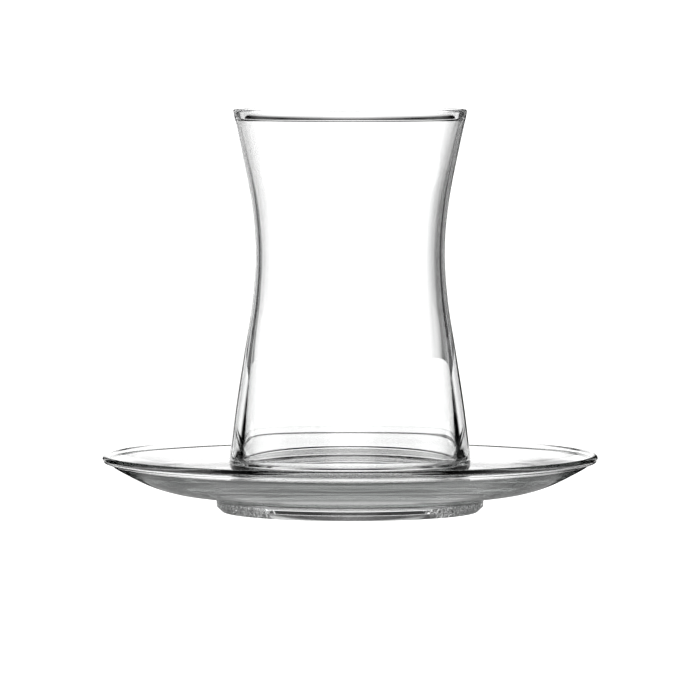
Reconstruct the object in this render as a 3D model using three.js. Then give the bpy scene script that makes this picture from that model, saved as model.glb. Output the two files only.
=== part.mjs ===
import * as THREE from "three";

// A waisted tea glass standing on its own glass saucer.
// Both are turned about the Z axis. The origin is on the table, at the centre of the saucer's foot.

// Driving dimensions in millimetres.
const SEGMENTS = 64;
const GLASS_HEIGHT = 120;
const RIM_RADIUS = 38.65;
const RIM_BEAD_RADIUS = 0.9;
const HEEL_RADIUS = 39.85;
const HEEL_HEIGHT = 4.3;
const HEEL_ROUND = 3;
const FLOOR_THICKNESS = 2.5;
const FLOOR_CROWN = 0.3;
const FLOOR_ROUND = 4;
const FLOOR_ROUND_HEIGHT = FLOOR_THICKNESS + FLOOR_ROUND;
const BASE_HOLLOW_DEPTH = 0.8;
const BASE_HOLLOW_RADIUS = 33;

// The wall of the glass: height above its foot, outer radius and thickness, from the heel to the rim.
const WALL_STATIONS = [
  [FLOOR_ROUND_HEIGHT, 39.75, 4.4],
  [11, 39.12, 4.2],
  [24, 37.48, 3.5],
  [41, 34.85, 2.45],
  [57, 32.38, 2],
  [73.5, 31.42, 1.8],
  [90, 32.82, 1.75],
  [106.5, 35.94, 1.4],
  [117.2, 38.3, 1.2],
];

const SAUCER_RADIUS = 81.9;
const SAUCER_HEIGHT = 18.9;
const SAUCER_BEAD_RADIUS = 1.3;
const SEAT_HEIGHT = 12.5;
const SEAT_RADIUS = 48;
const FOOT_INNER_RADIUS = 39.4;
const FOOT_OUTER_RADIUS = 42.5;
const FOOT_WIDEST_RADIUS = 44.1;
const FOOT_WIDEST_HEIGHT = 2.5;
const FOOT_FILLET = 2.7;
const FOOT_HOLLOW_DEPTH = 6;
const FOOT_HOLLOW_ROUND = 2.4;
const STANDING_GAP = 0.3;

// The saucer's dish: radius and height, underneath from the foot out and on top from the rim in.
const UNDERSIDE_STATIONS = [
  [51, 5.75],
  [59, 6.75],
  [67, 9.2],
  [75, 13.1],
  [79.6, 15.7],
];
const DISH_STATIONS = [
  [78.7, 17.1],
  [76.4, 15.85],
  [73, 14.55],
  [69, 13.4],
  [65, 12.9],
  [57, 12.55],
  [SEAT_RADIUS, SEAT_HEIGHT],
];

// Where the saucer's rounded corners start and end, in degrees from the outward direction.
const FOOT_HOLLOW_END = 20;
const FOOT_FILLET_START = 160;
const FOOT_FILLET_END = 95;
const SAUCER_BEAD_START = -90;
const SAUCER_BEAD_END = 180;

// Straight edges in each rounded or curved length of the two sections.
const DOME_STEPS = 3;
const CORNER_STEPS = 4;
const FILLET_STEPS = 3;
const OUTSIDE_STEPS = 13;
const INSIDE_STEPS = 11;
const SAUCER_BEAD_STEPS = 6;
const DISH_STEPS = 9;

const GLASS_COLOUR = 0xeef4f2;
const SAUCER_COLOUR = 0xdfe9e6;
const GLASS_OPACITY = 0.35;

// Points along an arc in the section plane, angles in degrees from the outward direction.
function arc(centreRadius, centreHeight, radius, startAngle, endAngle, steps) {
  const points = [];
  for (let step = 0; step <= steps; step++) {
    const angle = THREE.MathUtils.degToRad(THREE.MathUtils.lerp(startAngle, endAngle, step / steps));
    const x = centreRadius + radius * Math.cos(angle);
    const y = centreHeight + radius * Math.sin(angle);
    points.push(new THREE.Vector2(x, y));
  }
  return points;
}

// Points along a shallow dome, from the axis out to its edge.
function dome(centreHeight, edgeHeight, edgeRadius, steps) {
  const points = [];
  for (let step = 0; step <= steps; step++) {
    const share = step / steps;
    const height = THREE.MathUtils.lerp(centreHeight, edgeHeight, share * share);
    points.push(new THREE.Vector2(edgeRadius * share, height));
  }
  return points;
}

// Points along a smooth curve through the stations, both ends included.
function smooth(stations, steps) {
  const curve = new THREE.SplineCurve(stations.map(([radius, height]) => new THREE.Vector2(radius, height)));
  return curve.getSpacedPoints(steps);
}

// The glass's section: out along its foot, up the outside, over the rim, down the inside to the floor.
function glassSection() {
  const outside = WALL_STATIONS.map(([height, radius]) => [radius, height]);
  const inside = WALL_STATIONS.map(([height, radius, wall]) => [radius - wall, height]).reverse();
  const floorRadius = inside[inside.length - 1][0] - FLOOR_ROUND;
  const rimCentre = RIM_RADIUS - RIM_BEAD_RADIUS;
  const rimHeight = GLASS_HEIGHT - RIM_BEAD_RADIUS;
  return [
    ...dome(BASE_HOLLOW_DEPTH, 0, BASE_HOLLOW_RADIUS, DOME_STEPS),
    ...arc(HEEL_RADIUS - HEEL_ROUND, HEEL_ROUND, HEEL_ROUND, -90, 0, CORNER_STEPS),
    ...smooth([[HEEL_RADIUS, HEEL_HEIGHT], ...outside], OUTSIDE_STEPS),
    ...arc(rimCentre, rimHeight, RIM_BEAD_RADIUS, 0, 180, CORNER_STEPS),
    ...smooth(inside, INSIDE_STEPS),
    ...arc(floorRadius, FLOOR_ROUND_HEIGHT, FLOOR_ROUND, 0, -90, CORNER_STEPS).slice(1, -1),
    ...dome(FLOOR_THICKNESS + FLOOR_CROWN, FLOOR_THICKNESS, floorRadius, DOME_STEPS).reverse(),
  ];
}

// The saucer's section: out under its foot, along the underside, over the rim, down the dish to the seat.
function saucerSection() {
  const hollowRound = FOOT_INNER_RADIUS - FOOT_HOLLOW_ROUND;
  const beadCentre = SAUCER_RADIUS - SAUCER_BEAD_RADIUS;
  const beadHeight = SAUCER_HEIGHT - SAUCER_BEAD_RADIUS;
  const hollowRoundHeight = FOOT_HOLLOW_DEPTH - FOOT_HOLLOW_ROUND;
  const filletHeight = UNDERSIDE_STATIONS[0][1] - FOOT_FILLET;
  return [
    new THREE.Vector2(0, FOOT_HOLLOW_DEPTH),
    ...arc(hollowRound, hollowRoundHeight, FOOT_HOLLOW_ROUND, 90, FOOT_HOLLOW_END, FILLET_STEPS),
    new THREE.Vector2(FOOT_INNER_RADIUS, 0),
    new THREE.Vector2(FOOT_OUTER_RADIUS, 0),
    new THREE.Vector2(FOOT_WIDEST_RADIUS, FOOT_WIDEST_HEIGHT),
    ...arc(FOOT_WIDEST_RADIUS + FOOT_FILLET, filletHeight, FOOT_FILLET, FOOT_FILLET_START, FOOT_FILLET_END, FILLET_STEPS),
    ...smooth(UNDERSIDE_STATIONS, DISH_STEPS),
    ...arc(beadCentre, beadHeight, SAUCER_BEAD_RADIUS, SAUCER_BEAD_START, SAUCER_BEAD_END, SAUCER_BEAD_STEPS),
    ...smooth(DISH_STATIONS, DISH_STEPS),
    new THREE.Vector2(0, SEAT_HEIGHT),
  ];
}

// Turns a section about the Z axis into one closed solid.
function turned(name, section, material) {
  const geometry = new THREE.LatheGeometry(section, SEGMENTS);
  geometry.rotateX(Math.PI / 2);
  const mesh = new THREE.Mesh(geometry, material);
  mesh.name = name;
  return mesh;
}

const glassMaterial = new THREE.MeshStandardMaterial({
  color: GLASS_COLOUR,
  roughness: 0.02,
  metalness: 0,
  transparent: true,
  opacity: GLASS_OPACITY,
});

const saucerMaterial = new THREE.MeshStandardMaterial({
  color: SAUCER_COLOUR,
  roughness: 0.04,
  metalness: 0,
  transparent: true,
  opacity: GLASS_OPACITY,
});

const saucer = turned("saucer", saucerSection(), saucerMaterial);

const teaGlass = turned("tea_glass", glassSection(), glassMaterial);
teaGlass.position.z = SEAT_HEIGHT + STANDING_GAP;

const part = new THREE.Group();
part.add(saucer);
part.add(teaGlass);

export default part;
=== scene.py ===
import math

import bpy
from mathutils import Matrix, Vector


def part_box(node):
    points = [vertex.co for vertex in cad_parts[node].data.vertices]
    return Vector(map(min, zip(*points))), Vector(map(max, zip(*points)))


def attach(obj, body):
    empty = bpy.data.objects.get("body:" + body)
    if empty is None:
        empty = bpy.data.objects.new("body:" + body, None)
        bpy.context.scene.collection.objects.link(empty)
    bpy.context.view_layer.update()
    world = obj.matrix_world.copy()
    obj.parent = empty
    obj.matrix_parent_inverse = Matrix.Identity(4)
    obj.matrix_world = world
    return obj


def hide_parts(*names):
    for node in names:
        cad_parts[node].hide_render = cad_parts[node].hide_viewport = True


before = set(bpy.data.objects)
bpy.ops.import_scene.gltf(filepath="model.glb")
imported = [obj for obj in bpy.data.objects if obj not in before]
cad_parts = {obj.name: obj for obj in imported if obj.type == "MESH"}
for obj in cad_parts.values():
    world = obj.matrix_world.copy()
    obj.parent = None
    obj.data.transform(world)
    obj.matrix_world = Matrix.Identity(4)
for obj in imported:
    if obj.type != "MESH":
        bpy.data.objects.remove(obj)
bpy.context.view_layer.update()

# The view is that of a product shot: a long lens two metres away, a little above the top of the glass,
# so that the rim is almost a line and the saucer a thin ellipse.
# The lens is in millimetres, the rest in metres.
CAMERA_DISTANCE = 2.067
CAMERA_HEIGHT = 0.1647
AIM_HEIGHT = 0.0533
LENS = 322.5

bpy.ops.object.camera_add(location=(0, -CAMERA_DISTANCE, CAMERA_HEIGHT))
camera = bpy.context.object
camera.rotation_euler = (Vector((0, 0, AIM_HEIGHT)) - camera.location).to_track_quat("-Z", "Y").to_euler()
camera.data.lens = LENS
bpy.context.scene.camera = camera

# The saucer is one thick piece of pressed glass with a rolled rim, a flat seat and a foot ring.
# Its section is drawn as a chain of edges, in millimetres, and spun about the upright axis.
# Angles in the section are in degrees, from straight out and up.
MM_PER_METRE = 1000
SPIN_STEPS = 256
MERGE_DISTANCE = 1e-6
SEED_SIZE = 0.001
saucer_low, saucer_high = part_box("saucer")
SAUCER_RADIUS = saucer_high.x * MM_PER_METRE
SAUCER_HEIGHT = saucer_high.z * MM_PER_METRE
SAUCER_BEAD = 1.3
SAUCER_BEAD_STEPS = 24
SEAT_HEIGHT = 12.5
SEAT_RADIUS = 48
SEAT_STEPS = 4
FOOT_INNER_RADIUS = 39.4
FOOT_INNER_STEPS = 5
FOOT_OUTER_RADIUS = 42.5
FOOT_OUTER_STEPS = 4
FOOT_WIDEST_RADIUS = 44.1
FOOT_WIDEST_HEIGHT = 2.5
FOOT_WIDEST_STEPS = 3
FOOT_EDGE = 0.5
FOOT_FLARE = -33
FOOT_FILLET = 2.7
FOOT_FILLET_END = 97
FOOT_FILLET_STEPS = 8
HOLLOW_DEPTH = 6
HOLLOW_STEPS = 4
HOLLOW_ROUND = 2.4
HOLLOW_ROUND_STEPS = 8
CURVE_STEPS = 6
UNDERSIDE = [(51, 5.75), (59, 6.75), (67, 9.2), (75, 13.1), (79.6, 15.7)]
DISH = [
    (78.7, 17.1), (76.4, 15.85), (73, 14.55), (69, 13.4), (65, 12.9), (57, 12.55),
    (SEAT_RADIUS, SEAT_HEIGHT),
]


def arc(radius, height, size, start, end, steps):
    """Points of an arc in the section, by its centre's radius and height, its own size and its angles."""
    points = []
    for step in range(steps + 1):
        angle = math.radians(start + (end - start) * step / steps)
        points.append((radius + size * math.cos(angle), height + size * math.sin(angle)))
    return points


def dome(centre_height, edge_height, edge_radius, steps):
    """Points of a shallow dome in the section, from the axis out to its edge."""
    points = []
    for step in range(steps + 1):
        share = step / steps
        points.append((edge_radius * share, centre_height + (edge_height - centre_height) * share ** 2))
    return points


def smooth(stations, steps):
    """Points along a smooth curve through the stations, with the same number of steps between each two."""
    points = [Vector(stations[0])]
    for i in range(len(stations) - 1):
        start = Vector(stations[i])
        end = Vector(stations[i + 1])
        before = Vector(stations[i - 1]) if i else start
        after = Vector(stations[min(i + 2, len(stations) - 1)])
        leave = (end - before) / 2
        arrive = (after - start) / 2
        for step in range(1, steps + 1):
            t = step / steps
            points.append(start * (2 * t ** 3 - 3 * t ** 2 + 1) + leave * (t ** 3 - 2 * t ** 2 + t)
                          + end * (3 * t ** 2 - 2 * t ** 3) + arrive * (t ** 3 - t ** 2))
    return [tuple(point) for point in points]


def spun(name, section, lift=0):
    """Draws a section by extruding one vertex along it, and spins it into a closed body."""
    bpy.ops.object.select_all(action="DESELECT")
    bpy.ops.mesh.primitive_plane_add(size=SEED_SIZE)
    piece = bpy.context.object
    piece.name = name
    bpy.ops.object.mode_set(mode="EDIT")
    bpy.ops.mesh.merge(type="CENTER")
    at = Vector((section[0][0], 0, section[0][1] + lift)) / MM_PER_METRE
    bpy.ops.transform.translate(value=at)
    for radius, height in section[1:]:
        to = Vector((radius, 0, height + lift)) / MM_PER_METRE
        if (to - at).length < MERGE_DISTANCE:
            continue
        bpy.ops.mesh.extrude_region_move(TRANSFORM_OT_translate={"value": to - at})
        at = to
    bpy.ops.mesh.select_all(action="SELECT")
    bpy.ops.mesh.spin(steps=SPIN_STEPS, angle=math.tau, center=(0, 0, 0), axis=(0, 0, 1))
    bpy.ops.mesh.select_all(action="SELECT")
    bpy.ops.mesh.remove_doubles(threshold=MERGE_DISTANCE)
    bpy.ops.mesh.normals_make_consistent(inside=False)
    bpy.ops.object.mode_set(mode="OBJECT")
    bpy.ops.object.shade_smooth()
    return piece


hollow_round_radius = FOOT_INNER_RADIUS - HOLLOW_ROUND
fillet_radius = FOOT_WIDEST_RADIUS + FOOT_FILLET
fillet_height = UNDERSIDE[0][1] - FOOT_FILLET
bead_radius = SAUCER_RADIUS - SAUCER_BEAD
widest_edge_height = FOOT_WIDEST_HEIGHT - FOOT_EDGE
saucer_section = (
    dome(HOLLOW_DEPTH, HOLLOW_DEPTH, hollow_round_radius, HOLLOW_STEPS)
    + arc(hollow_round_radius, HOLLOW_DEPTH - HOLLOW_ROUND, HOLLOW_ROUND, 90, 0, HOLLOW_ROUND_STEPS)
    + arc(FOOT_INNER_RADIUS + FOOT_EDGE, FOOT_EDGE, FOOT_EDGE, 180, 270, FOOT_INNER_STEPS)
    + arc(FOOT_OUTER_RADIUS - FOOT_EDGE, FOOT_EDGE, FOOT_EDGE, -90, FOOT_FLARE, FOOT_OUTER_STEPS)
    + arc(FOOT_WIDEST_RADIUS - FOOT_EDGE, widest_edge_height, FOOT_EDGE, FOOT_FLARE, 0, FOOT_WIDEST_STEPS)
    + arc(fillet_radius, fillet_height, FOOT_FILLET, 180, FOOT_FILLET_END, FOOT_FILLET_STEPS)
    + smooth(UNDERSIDE, CURVE_STEPS)
    + arc(bead_radius, SAUCER_HEIGHT - SAUCER_BEAD, SAUCER_BEAD, -90, 180, SAUCER_BEAD_STEPS)
    + smooth(DISH, CURVE_STEPS)
    + dome(SEAT_HEIGHT, SEAT_HEIGHT, SEAT_RADIUS, SEAT_STEPS)[-2::-1]
)
saucer = spun("pressed_saucer", saucer_section)

GLASS_IOR = 1.5
SAUCER_TINT = (0.06, 0.1, 0.08, 1)
SAUCER_TINT_DENSITY = 12
WAVE_SIZE = 0.03
SAUCER_WAVE_DEPTH = 0.000002

# In metres: the scales' size and depth, then where they start and where they are full,
# by their height on the foot and by their distance from its middle.
SCALE_SIZE = 0.0024
SCALE_DEPTH = 0.00025
SCALE_SLOPE = 0.25
SCALE_TOP = (0.0036, 0.00252)
SCALE_SIDES = (0.026, 0.0299)


def calculated(nodes, links, operation, first, second):
    """Two values of a material put together by one sum."""
    node = nodes.new("ShaderNodeMath")
    node.operation = operation
    links.new(first, node.inputs[0])
    links.new(second, node.inputs[1])
    return node.outputs["Value"]


def glass_finish(name, tint, tint_density, wave_depth):
    """Clear glass with a faint colour in its depth and the slow waves that a mould leaves."""
    material = bpy.data.materials.new(name)
    material.use_nodes = True
    nodes, links = material.node_tree.nodes, material.node_tree.links
    surface = nodes["Principled BSDF"]
    surface.inputs["Base Color"].default_value = (1, 1, 1, 1)
    surface.inputs["Roughness"].default_value = 0
    surface.inputs["IOR"].default_value = GLASS_IOR
    surface.inputs["Transmission Weight"].default_value = 1
    place = nodes.new("ShaderNodeTexCoord")
    place.name = "place"
    waves = nodes.new("ShaderNodeTexNoise")
    waves.inputs["Scale"].default_value = 1 / WAVE_SIZE
    waves.inputs["Detail"].default_value = 1
    links.new(place.outputs["Object"], waves.inputs["Vector"])
    bump = nodes.new("ShaderNodeBump")
    bump.name = "waves of the mould"
    bump.inputs["Strength"].default_value = 1
    bump.inputs["Distance"].default_value = wave_depth
    links.new(waves.outputs["Fac"], bump.inputs["Height"])
    links.new(bump.outputs["Normal"], surface.inputs["Normal"])
    depth = nodes.new("ShaderNodeVolumeAbsorption")
    depth.inputs["Color"].default_value = tint
    depth.inputs["Density"].default_value = tint_density
    links.new(depth.outputs["Volume"], nodes["Material Output"].inputs["Volume"])
    return material


def press_scales(material):
    """Presses small rounded scales into the foot at both sides, over the waves of the mould."""
    nodes, links = material.node_tree.nodes, material.node_tree.links
    place = nodes["place"]
    scales = nodes.new("ShaderNodeTexVoronoi")
    scales.feature = "DISTANCE_TO_EDGE"
    scales.inputs["Scale"].default_value = 1 / SCALE_SIZE
    links.new(place.outputs["Object"], scales.inputs["Vector"])
    plateau = nodes.new("ShaderNodeMapRange")
    plateau.interpolation_type = "SMOOTHSTEP"
    plateau.inputs["From Max"].default_value = SCALE_SLOPE
    links.new(scales.outputs["Distance"], plateau.inputs["Value"])
    split = nodes.new("ShaderNodeSeparateXYZ")
    links.new(place.outputs["Object"], split.inputs[0])
    aside = nodes.new("ShaderNodeMath")
    aside.operation = "ABSOLUTE"
    links.new(split.outputs["X"], aside.inputs[0])
    height = plateau.outputs["Result"]
    for source, (gone, full) in ((split.outputs["Z"], SCALE_TOP), (aside.outputs["Value"], SCALE_SIDES)):
        fade = nodes.new("ShaderNodeMapRange")
        fade.inputs["From Min"].default_value = gone
        fade.inputs["From Max"].default_value = full
        links.new(source, fade.inputs["Value"])
        height = calculated(nodes, links, "MULTIPLY", height, fade.outputs["Result"])
    relief = nodes.new("ShaderNodeBump")
    relief.inputs["Strength"].default_value = 1
    relief.inputs["Distance"].default_value = SCALE_DEPTH
    links.new(height, relief.inputs["Height"])
    links.new(nodes["waves of the mould"].outputs["Normal"], relief.inputs["Normal"])
    links.new(relief.outputs["Normal"], nodes["Principled BSDF"].inputs["Normal"])


pressed_glass = glass_finish("pressed glass", SAUCER_TINT, SAUCER_TINT_DENSITY, SAUCER_WAVE_DEPTH)
press_scales(pressed_glass)
saucer.data.materials.append(pressed_glass)
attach(saucer, "root")
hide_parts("saucer")

# The tea glass is a thin-walled, waisted body with a fire-polished rim and a thick rounded heel.
# Its wall thins from the heel to the rim, and it stands loose on the saucer's seat.
glass_low, glass_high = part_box("tea_glass")
GLASS_FOOT = glass_low.z * MM_PER_METRE
GLASS_HEIGHT = (glass_high.z - glass_low.z) * MM_PER_METRE
HEEL_RADIUS = glass_high.x * MM_PER_METRE
HEEL_HEIGHT = 4.3
HEEL_ROUND = 3
HEEL_STEPS = 12
RIM_RADIUS = 38.65
RIM_BEAD = 0.9
RIM_STEPS = 14
FLOOR_THICKNESS = 1.9
FLOOR_CROWN = 0.05
FLOOR_STEPS = 6
FLOOR_ROUND = 2.8
FLOOR_ROUND_STEPS = 12
BASE_HOLLOW_DEPTH = 0.4
BASE_HOLLOW_FLAT_RADIUS = 31
BASE_HOLLOW_RADIUS = 33
BASE_STANDING_RADIUS = 35.5
BASE_SLOPE_STEPS = 5
GLASS_TINT = (0.06, 0.09, 0.08, 1)
GLASS_TINT_DENSITY = 20
GLASS_WAVE_DEPTH = 0.000003

# Height above the glass's foot, outer radius and thickness of the wall.
WALL = [
    (FLOOR_THICKNESS + FLOOR_ROUND, 39.82, 4.4),
    (11, 39.12, 4.2),
    (24, 37.48, 3.5),
    (41, 34.85, 2.45),
    (57, 32.38, 2),
    (73.5, 31.42, 1.8),
    (90, 32.82, 1.75),
    (106.5, 35.94, 1.4),
    (117.2, 38.3, 1.2),
]

outside = [(radius, height) for height, radius, wall in WALL]
inside = [(radius - wall, height) for height, radius, wall in reversed(WALL)]
floor_radius = inside[-1][0] - FLOOR_ROUND
floor_dome = dome(FLOOR_THICKNESS + FLOOR_CROWN, FLOOR_THICKNESS, floor_radius, FLOOR_STEPS)
base_slope = [(BASE_HOLLOW_RADIUS, BASE_HOLLOW_DEPTH), (BASE_STANDING_RADIUS, 0)]
glass_section = (
    [(0, BASE_HOLLOW_DEPTH), (BASE_HOLLOW_FLAT_RADIUS, BASE_HOLLOW_DEPTH)]
    + smooth(base_slope, BASE_SLOPE_STEPS)
    + arc(HEEL_RADIUS - HEEL_ROUND, HEEL_ROUND, HEEL_ROUND, -90, 0, HEEL_STEPS)
    + smooth([(HEEL_RADIUS, HEEL_HEIGHT)] + outside, CURVE_STEPS)
    + arc(RIM_RADIUS - RIM_BEAD, GLASS_HEIGHT - RIM_BEAD, RIM_BEAD, 0, 180, RIM_STEPS)
    + smooth(inside, CURVE_STEPS)
    + arc(floor_radius, FLOOR_THICKNESS + FLOOR_ROUND, FLOOR_ROUND, 0, -90, FLOOR_ROUND_STEPS)
    + floor_dome[::-1]
)
tea_glass = spun("waisted_tea_glass", glass_section, GLASS_FOOT)
tea_glass.data.materials.append(glass_finish("clear glass", GLASS_TINT, GLASS_TINT_DENSITY, GLASS_WAVE_DEPTH))
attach(tea_glass, "root")
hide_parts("tea_glass")

# The table is a plain white sweep, a hair below the foot of the saucer.
# The light is a plain white sky all round it, so that nothing throws a shadow.
TABLE_SIZE = 12
TABLE_HEIGHT = -0.0004
TABLE_WHITE = (0.95, 0.95, 0.95, 1)
SKY_WHITE = 1.6

bpy.ops.object.select_all(action="DESELECT")
bpy.ops.mesh.primitive_plane_add(size=TABLE_SIZE, location=(0, 0, TABLE_HEIGHT))
table = bpy.context.object
table.name = "table"
paper = bpy.data.materials.new("white paper")
paper.use_nodes = True
paper_surface = paper.node_tree.nodes["Principled BSDF"]
paper_surface.inputs["Base Color"].default_value = TABLE_WHITE
paper_surface.inputs["Roughness"].default_value = 1
paper_surface.inputs["Specular IOR Level"].default_value = 0
table.data.materials.append(paper)

world = bpy.data.worlds.new("studio")
bpy.context.scene.world = world
world.use_nodes = True
world.node_tree.nodes["Background"].inputs["Color"].default_value = (1, 1, 1, 1)
world.node_tree.nodes["Background"].inputs["Strength"].default_value = SKY_WHITE

# A black card with white windows stands round the glass, out of the picture.
# Only the glass sees it: it draws the edges of the glass as dark lines against the white.
CARD_RADIUS = 0.42
CARD_TOP = 0.4
RING_SIDES = 128
WINDOW_WHITE = 1.5

# Brightness by azimuth, in degrees from straight behind, with the left below nought.
# The row in the middle is the window behind the glass.
WINDOW_AZIMUTHS = [
    (-180, 1), (-168, 1), (-150, 0), (-115, 0), (-97, 1), (-83, 1), (-65, 0),
    (-33.5, 0), (-32, 0.6), (-28, 0.6), (-27, 0),
    (-22.5, 0), (-20.5, 1), (8, 1), (15, 0.42), (17, 0),
    (26, 0), (27, 0.4), (31, 0.4), (32.5, 0),
    (65, 0), (83, 1), (97, 1), (115, 0), (150, 0), (168, 1),
]

# Height in metres, brightness and cover.
WINDOW_HEIGHTS = [
    (0, 1, 1), (0.142, 1, 1), (0.156, 0, 1),
    (0.19, 0, 1), (0.21, 0.8, 1), (0.27, 0.8, 1), (0.29, 0.4, 1), (0.33, 0.4, 1), (0.35, 0, 1),
]


def only_for_glass(piece):
    """Hides a card from the camera and from the table, so that only the glass mirrors and bends it."""
    piece.visible_camera = False
    piece.visible_diffuse = False
    piece.visible_shadow = False


def glowing(name):
    """A card's own even glow, which the nodes linked to it may grade."""
    material = bpy.data.materials.new(name)
    material.use_nodes = True
    nodes, links = material.node_tree.nodes, material.node_tree.links
    nodes.clear()
    glow = nodes.new("ShaderNodeEmission")
    output = nodes.new("ShaderNodeOutputMaterial")
    links.new(glow.outputs["Emission"], output.inputs["Surface"])
    return material, glow


def placed(nodes, links):
    """The place on a card, and the same split into its three directions."""
    place = nodes.new("ShaderNodeTexCoord").outputs["Object"]
    split = nodes.new("ShaderNodeSeparateXYZ")
    links.new(place, split.inputs[0])
    return place, split


def ramp(nodes, stops):
    """A colour ramp with a stop at each place, brightness and cover."""
    graded = nodes.new("ShaderNodeValToRGB")
    for i, (at, brightness, cover) in enumerate(stops):
        if i < 2:
            element = graded.color_ramp.elements[i]
            element.position = at
        else:
            element = graded.color_ramp.elements.new(at)
        element.color = (brightness, brightness, brightness, cover)
    return graded


def by_azimuth(nodes, links, split, stops):
    """A ramp round the upright axis, from straight in front round by the left, the back and the right."""
    turn = calculated(nodes, links, "ARCTAN2", split.outputs["X"], split.outputs["Y"])
    around = nodes.new("ShaderNodeMapRange")
    around.inputs["From Min"].default_value = -math.pi
    around.inputs["From Max"].default_value = math.pi
    links.new(turn, around.inputs["Value"])
    sides = ramp(nodes, [((azimuth + 180) / 360, white, 1) for azimuth, white in stops])
    links.new(around.outputs["Result"], sides.inputs["Fac"])
    return sides.outputs["Color"]


bpy.ops.object.select_all(action="DESELECT")
bpy.ops.mesh.primitive_cylinder_add(
    vertices=RING_SIDES,
    radius=CARD_RADIUS,
    depth=CARD_TOP,
    end_fill_type="NOTHING",
    location=(0, 0, CARD_TOP / 2),
)
ring = bpy.context.object
ring.name = "ring_card"
bpy.ops.object.transform_apply(location=True)
windows, glow = glowing("black with windows")
nodes, links = windows.node_tree.nodes, windows.node_tree.links
place, split = placed(nodes, links)
heights = ramp(nodes, WINDOW_HEIGHTS)
links.new(split.outputs["Z"], heights.inputs["Fac"])
bright = nodes.new("ShaderNodeMath")
bright.operation = "MULTIPLY"
bright.inputs[0].default_value = WINDOW_WHITE
links.new(heights.outputs["Color"], bright.inputs[1])
links.new(by_azimuth(nodes, links, split, WINDOW_AZIMUTHS), glow.inputs["Color"])
links.new(bright.outputs["Value"], glow.inputs["Strength"])
ring.data.materials.append(windows)
only_for_glass(ring)

# A black lid closes the ring, so that the rim and the shoulders of the glass mirror black from above.
# Like the ring, it is seen by the glass alone.
DISC_SIDES = 96

bpy.ops.object.select_all(action="DESELECT")
bpy.ops.mesh.primitive_circle_add(
    vertices=DISC_SIDES, radius=CARD_RADIUS, fill_type="NGON", location=(0, 0, CARD_TOP))
lid = bpy.context.object
lid.name = "lid_card"
black, glow = glowing("black")
glow.inputs["Color"].default_value = (0, 0, 0, 1)
lid.data.materials.append(black)
only_for_glass(lid)

# A glowing disc under the saucer, seen by the glass alone, is painted light and shade of the table: bright
# below the saucer, black round it, and it bares the table behind. Its painted shade darkens the saucer's body
# and draws its dark edge.
# The black ends a little beyond the saucer, apart from two wedges behind at the sides, which the dark lines
# in the wall of the glass need.
PAINTED_SHADE_HEIGHT = -0.0002
PAINTED_SHADE_WIDTH = 1.1

# Distance from the axis in metres, brightness and cover of the painted shade. The width above stretches it
# sideways.
PAINTED_SHADE_REACHES = [
    (0, 0.46, 1), (0.038, 0.46, 1), (0.044, 0.75, 1), (0.055, 0.75, 1),
    (0.06, 0.95, 1), (0.067, 0.95, 1), (0.0705, 0.05, 1), (0.084, 0, 0),
]

# By azimuth: the brightness of the painted shade disc, then where it is black beyond the bright patch,
# and where that black reaches out to the ring.
PAINTED_SHADE_AZIMUTHS = [(-180, 1), (-136, 1), (-118, 0.42), (118, 0.38), (136, 1)]
SHADE_AZIMUTHS = [(-180, 1), (-44, 1), (-38, 0), (36, 0), (42, 1)]
WEDGE_AZIMUTHS = [(-180, 0), (-62, 0), (-58, 1), (-43, 1), (-38, 0), (36, 0), (41, 1), (58, 1), (62, 0)]
SHADE_FULL_REACH = 0.105
SHADE_GONE_REACH = 0.115

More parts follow.
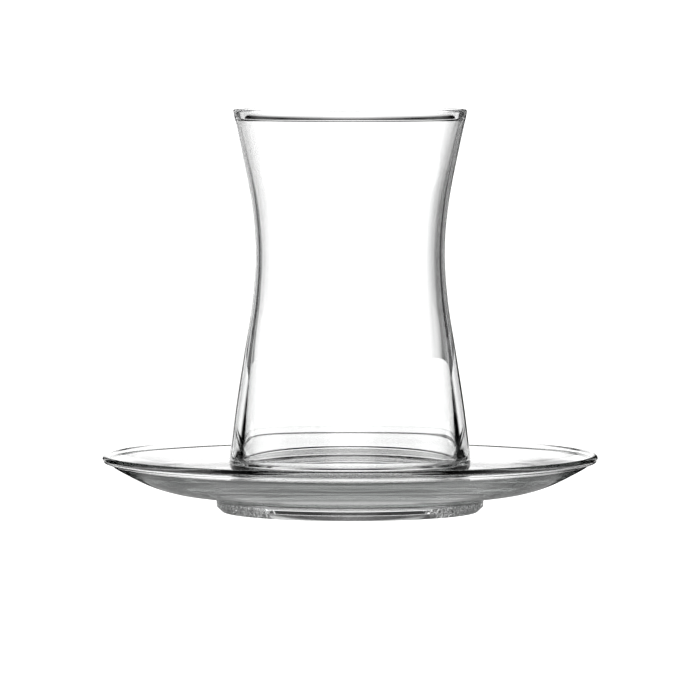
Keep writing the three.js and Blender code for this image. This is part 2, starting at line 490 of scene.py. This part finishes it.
bpy.ops.object.select_all(action="DESELECT")
bpy.ops.mesh.primitive_circle_add(
    vertices=DISC_SIDES, radius=CARD_RADIUS, fill_type="NGON", location=(0, 0, PAINTED_SHADE_HEIGHT))
painted_shade_disc = bpy.context.object
painted_shade_disc.name = "painted_shade_disc"
# The disc's glow is painted light and shade: the lit and the shaded table as the glass sees it.
graded, glow = glowing("painted table shade")
nodes, links = graded.node_tree.nodes, graded.node_tree.links
place, split = placed(nodes, links)
narrowed = nodes.new("ShaderNodeVectorMath")
narrowed.operation = "MULTIPLY"
narrowed.inputs[1].default_value = (1 / PAINTED_SHADE_WIDTH, 1, 1)
links.new(place, narrowed.inputs[0])
reach = nodes.new("ShaderNodeVectorMath")
reach.operation = "LENGTH"
links.new(narrowed.outputs["Vector"], reach.inputs[0])
grade = ramp(nodes, PAINTED_SHADE_REACHES)
links.new(reach.outputs["Value"], grade.inputs["Fac"])
links.new(grade.outputs["Color"], glow.inputs["Color"])
links.new(by_azimuth(nodes, links, split, PAINTED_SHADE_AZIMUTHS), glow.inputs["Strength"])
shade_edge = nodes.new("ShaderNodeMapRange")
shade_edge.inputs["From Min"].default_value = SHADE_GONE_REACH
shade_edge.inputs["From Max"].default_value = SHADE_FULL_REACH
links.new(reach.outputs["Value"], shade_edge.inputs["Value"])
sectors = by_azimuth(nodes, links, split, SHADE_AZIMUTHS)
wedges = by_azimuth(nodes, links, split, WEDGE_AZIMUTHS)
shade_reach = calculated(nodes, links, "MAXIMUM", shade_edge.outputs["Result"], wedges)
shade = calculated(nodes, links, "MULTIPLY", sectors, shade_reach)
cover = calculated(nodes, links, "MAXIMUM", grade.outputs["Alpha"], shade)
bare = nodes.new("ShaderNodeBsdfTransparent")
blend = nodes.new("ShaderNodeMixShader")
links.new(cover, blend.inputs["Fac"])
links.new(bare.outputs["BSDF"], blend.inputs[1])
links.new(glow.outputs["Emission"], blend.inputs[2])
links.new(blend.outputs["Shader"], nodes["Material Output"].inputs["Surface"])
painted_shade_disc.data.materials.append(graded)
only_for_glass(painted_shade_disc)

# The glass doesn't darken the table round it, and rays are followed deep enough
# to come out again behind all the walls that they cross.
DEEP_BOUNCES = 32
GLOSSY_BOUNCES = 16

for piece in (saucer, tea_glass):
    piece.visible_diffuse = False
    piece.visible_shadow = False

scene = bpy.context.scene
scene.view_settings.view_transform = "Standard"
scene.cycles.max_bounces = DEEP_BOUNCES
scene.cycles.transmission_bounces = DEEP_BOUNCES
scene.cycles.glossy_bounces = GLOSSY_BOUNCES
